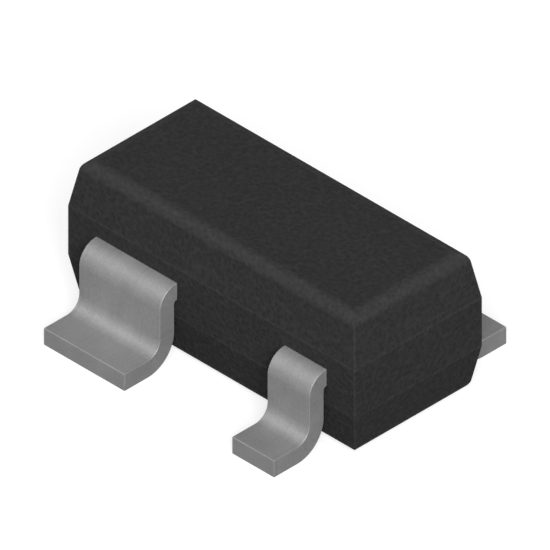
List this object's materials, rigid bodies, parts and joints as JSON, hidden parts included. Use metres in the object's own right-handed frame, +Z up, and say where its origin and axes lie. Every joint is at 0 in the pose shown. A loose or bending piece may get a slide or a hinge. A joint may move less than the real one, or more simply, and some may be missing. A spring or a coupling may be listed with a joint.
{
  "type": "voltage supervisor ic",
  "caption": "Small surface-mount reset supervisor: drafted black moulding with gull-wing leads, one of them wide, and the lead frame, chip and bond wires inside.",
  "frame": {"origin": "on the seating plane, under the middle of the moulding", "axes": "+X along the moulding's long side, away from the wide lead's end; +Y across it, away from the side with the wide lead; +Z up from the board"},
  "size_m": [0.003, 0.0024, 0.0012],
  "materials": {
    "moulding_compound": "fine matte charcoal epoxy",
    "tinned_lead": "matte tin plating",
    "silver_adhesive": "cured silver-filled epoxy",
    "silicon": "polished and sawn",
    "gold_wire": "drawn"
  },
  "bodies": {
    "root": {"moulded_body": "moulding_compound", "ground_lead": "tinned_lead", "reset_lead": "tinned_lead", "manual_reset_lead": "tinned_lead", "supply_lead": "tinned_lead", "die_attach": "silver_adhesive", "silicon_die": "silicon", "ground_bond_wire": "gold_wire", "reset_bond_wire": "gold_wire", "manual_reset_bond_wire": "gold_wire", "supply_bond_wire": "gold_wire"}
  },
  "joints": []
}
